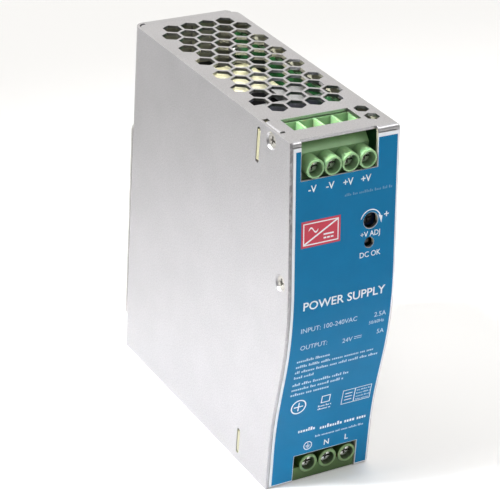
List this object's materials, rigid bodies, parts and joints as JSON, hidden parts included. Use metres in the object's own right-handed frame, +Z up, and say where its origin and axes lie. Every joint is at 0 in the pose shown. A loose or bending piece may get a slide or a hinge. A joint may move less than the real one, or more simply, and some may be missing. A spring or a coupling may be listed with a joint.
{
  "type": "din rail power supply",
  "caption": "Slim sheet-metal power supply for a 35 mm rail: S-curved front, vented top and bottom, screw terminals at both ends, sprung rail latch.",
  "frame": {"origin": "under the middle of the overall box, on the plane of the bottom panel", "axes": "+Z up, +X to the right as seen from the front, +Y to the rear, towards the rail"},
  "size_m": [0.04, 0.1134, 0.1252],
  "materials": {
    "case_sheet": "satin, zinc coated",
    "label_film": "satin print on film",
    "plated_screw": "bright zinc",
    "bracket_sheet": "satin, zinc coated",
    "rivet_metal": "satin",
    "latch_sheet": "satin, zinc coated",
    "spring_wire": "drawn wire",
    "terminal_green": "moulded, satin",
    "terminal_olive": "moulded, satin",
    "contact_metal": "tinned",
    "circuit_board": "glass-epoxy, solder mask",
    "trimmer_case": "moulded",
    "trimmer_rotor": "moulded",
    "led_lens": "diffused",
    "standoff_metal": "turned",
    "insulation_film": "film",
    "ferrite": "sintered",
    "bobbin_plastic": "moulded",
    "winding_tape": "taped",
    "capacitor_sleeve": "shrink sleeve",
    "heatsink_metal": "mill finish",
    "package_epoxy": "moulded",
    "copper_wire": "enamelled copper",
    "film_box": "moulded",
    "fuse_glass": "glass with nickel caps",
    "disc_coating": "coated",
    "thermistor_coating": "coated",
    "small_package": "moulded",
    "terminal_screw": "nickel plated",
    "clamp_metal": "plated steel"
  },
  "bodies": {
    "case": {"chassis_shell": "case_sheet", "side_cover": "case_sheet", "front_label": "label_film", "case_screws": "plated_screw", "rail_bracket": "bracket_sheet", "bracket_rivets": "rivet_metal", "latch_spring": "spring_wire", "output_terminal": "terminal_green", "input_terminal": "terminal_olive", "output_contacts": "contact_metal", "input_contacts": "contact_metal", "output_board": "circuit_board", "input_board": "circuit_board", "trimmer_body": "trimmer_case", "status_led": "led_lens", "main_board": "circuit_board", "board_standoffs": "standoff_metal", "board_screws": "plated_screw", "insulation_sheet": "insulation_film", "transformer_core": "ferrite", "transformer_bobbin": "bobbin_plastic", "transformer_winding": "winding_tape", "output_capacitors": "capacitor_sleeve", "bulk_capacitor": "capacitor_sleeve", "primary_heatsink": "heatsink_metal", "secondary_heatsink": "heatsink_metal", "heatsink_screws": "plated_screw", "power_transistor": "package_epoxy", "rectifier_diode": "package_epoxy", "bridge_rectifier": "package_epoxy", "choke_core": "ferrite", "choke_windings": "copper_wire", "output_inductor": "copper_wire", "x_capacitor": "film_box", "fuse": "fuse_glass", "varistor": "disc_coating", "thermistor": "thermistor_coating", "signal_parts": "small_package"},
    "rail_latch": {"rail_latch": "latch_sheet"},
    "trimmer_rotor": {"trimmer_rotor": "trimmer_rotor"},
    "output_screw_1": {"output_screw_1": "terminal_screw"},
    "output_clamp_1": {"output_clamp_1": "clamp_metal"},
    "output_screw_2": {"output_screw_2": "terminal_screw"},
    "output_clamp_2": {"output_clamp_2": "clamp_metal"},
    "output_screw_3": {"output_screw_3": "terminal_screw"},
    "output_clamp_3": {"output_clamp_3": "clamp_metal"},
    "output_screw_4": {"output_screw_4": "terminal_screw"},
    "output_clamp_4": {"output_clamp_4": "clamp_metal"},
    "input_screw_1": {"input_screw_1": "terminal_screw"},
    "input_clamp_1": {"input_clamp_1": "clamp_metal"},
    "input_screw_2": {"input_screw_2": "terminal_screw"},
    "input_clamp_2": {"input_clamp_2": "clamp_metal"},
    "input_screw_3": {"input_screw_3": "terminal_screw"},
    "input_clamp_3": {"input_clamp_3": "clamp_metal"}
  },
  "joints": [
    {"name": "latch_slide", "type": "slide", "parent": "case", "child": "rail_latch", "axis": [0, 0, -1], "range_m": [0, 0.005], "stiffness_N_per_m": 1500, "springref_m": -0.004, "deforming": ["latch_spring"]},
    {"name": "trimmer_turn", "type": "hinge", "parent": "case", "child": "trimmer_rotor", "pos_m": [0.0098, -0.051, 0.095], "axis": [0, 1, 0], "range_deg": [-135, 135]},
    {"name": "output_screw_1_turn", "type": "hinge", "parent": "case", "child": "output_screw_1", "pos_m": [-0.01123, -0.048, 0.1159], "axis": [0, 1, 0], "range_deg": [0, 2160]},
    {"name": "output_clamp_1_rise", "type": "slide", "parent": "case", "child": "output_clamp_1", "axis": [0, -1, 0], "range_m": [0, 0.003]},
    {"name": "output_screw_2_turn", "type": "hinge", "parent": "case", "child": "output_screw_2", "pos_m": [-0.00487, -0.048, 0.1159], "axis": [0, 1, 0], "range_deg": [0, 2160]},
    {"name": "output_clamp_2_rise", "type": "slide", "parent": "case", "child": "output_clamp_2", "axis": [0, -1, 0], "range_m": [0, 0.003]},
    {"name": "output_screw_3_turn", "type": "hinge", "parent": "case", "child": "output_screw_3", "pos_m": [0.00147, -0.048, 0.1159], "axis": [0, 1, 0], "range_deg": [0, 2160]},
    {"name": "output_clamp_3_rise", "type": "slide", "parent": "case", "child": "output_clamp_3", "axis": [0, -1, 0], "range_m": [0, 0.003]},
    {"name": "output_screw_4_turn", "type": "hinge", "parent": "case", "child": "output_screw_4", "pos_m": [0.00783, -0.048, 0.1159], "axis": [0, 1, 0], "range_deg": [0, 2160]},
    {"name": "output_clamp_4_rise", "type": "slide", "parent": "case", "child": "output_clamp_4", "axis": [0, -1, 0], "range_m": [0, 0.003]},
    {"name": "input_screw_1_turn", "type": "hinge", "parent": "case", "child": "input_screw_1", "pos_m": [-0.004, -0.048, 0.0061], "axis": [0, 1, 0], "range_deg": [0, 2160]},
    {"name": "input_clamp_1_rise", "type": "slide", "parent": "case", "child": "input_clamp_1", "axis": [0, -1, 0], "range_m": [0, 0.003]},
    {"name": "input_screw_2_turn", "type": "hinge", "parent": "case", "child": "input_screw_2", "pos_m": [0.0035, -0.048, 0.0061], "axis": [0, 1, 0], "range_deg": [0, 2160]},
    {"name": "input_clamp_2_rise", "type": "slide", "parent": "case", "child": "input_clamp_2", "axis": [0, -1, 0], "range_m": [0, 0.003]},
    {"name": "input_screw_3_turn", "type": "hinge", "parent": "case", "child": "input_screw_3", "pos_m": [0.011, -0.048, 0.0061], "axis": [0, 1, 0], "range_deg": [0, 2160]},
    {"name": "input_clamp_3_rise", "type": "slide", "parent": "case", "child": "input_clamp_3", "axis": [0, -1, 0], "range_m": [0, 0.003]}
  ],
  "couplings": [
    {"joint": "output_screw_1_turn", "follows": "output_clamp_1_rise", "rad_per_m": 12566},
    {"joint": "output_screw_2_turn", "follows": "output_clamp_2_rise", "rad_per_m": 12566},
    {"joint": "output_screw_3_turn", "follows": "output_clamp_3_rise", "rad_per_m": 12566},
    {"joint": "output_screw_4_turn", "follows": "output_clamp_4_rise", "rad_per_m": 12566},
    {"joint": "input_screw_1_turn", "follows": "input_clamp_1_rise", "rad_per_m": 12566},
    {"joint": "input_screw_2_turn", "follows": "input_clamp_2_rise", "rad_per_m": 12566},
    {"joint": "input_screw_3_turn", "follows": "input_clamp_3_rise", "rad_per_m": 12566}
  ]
}
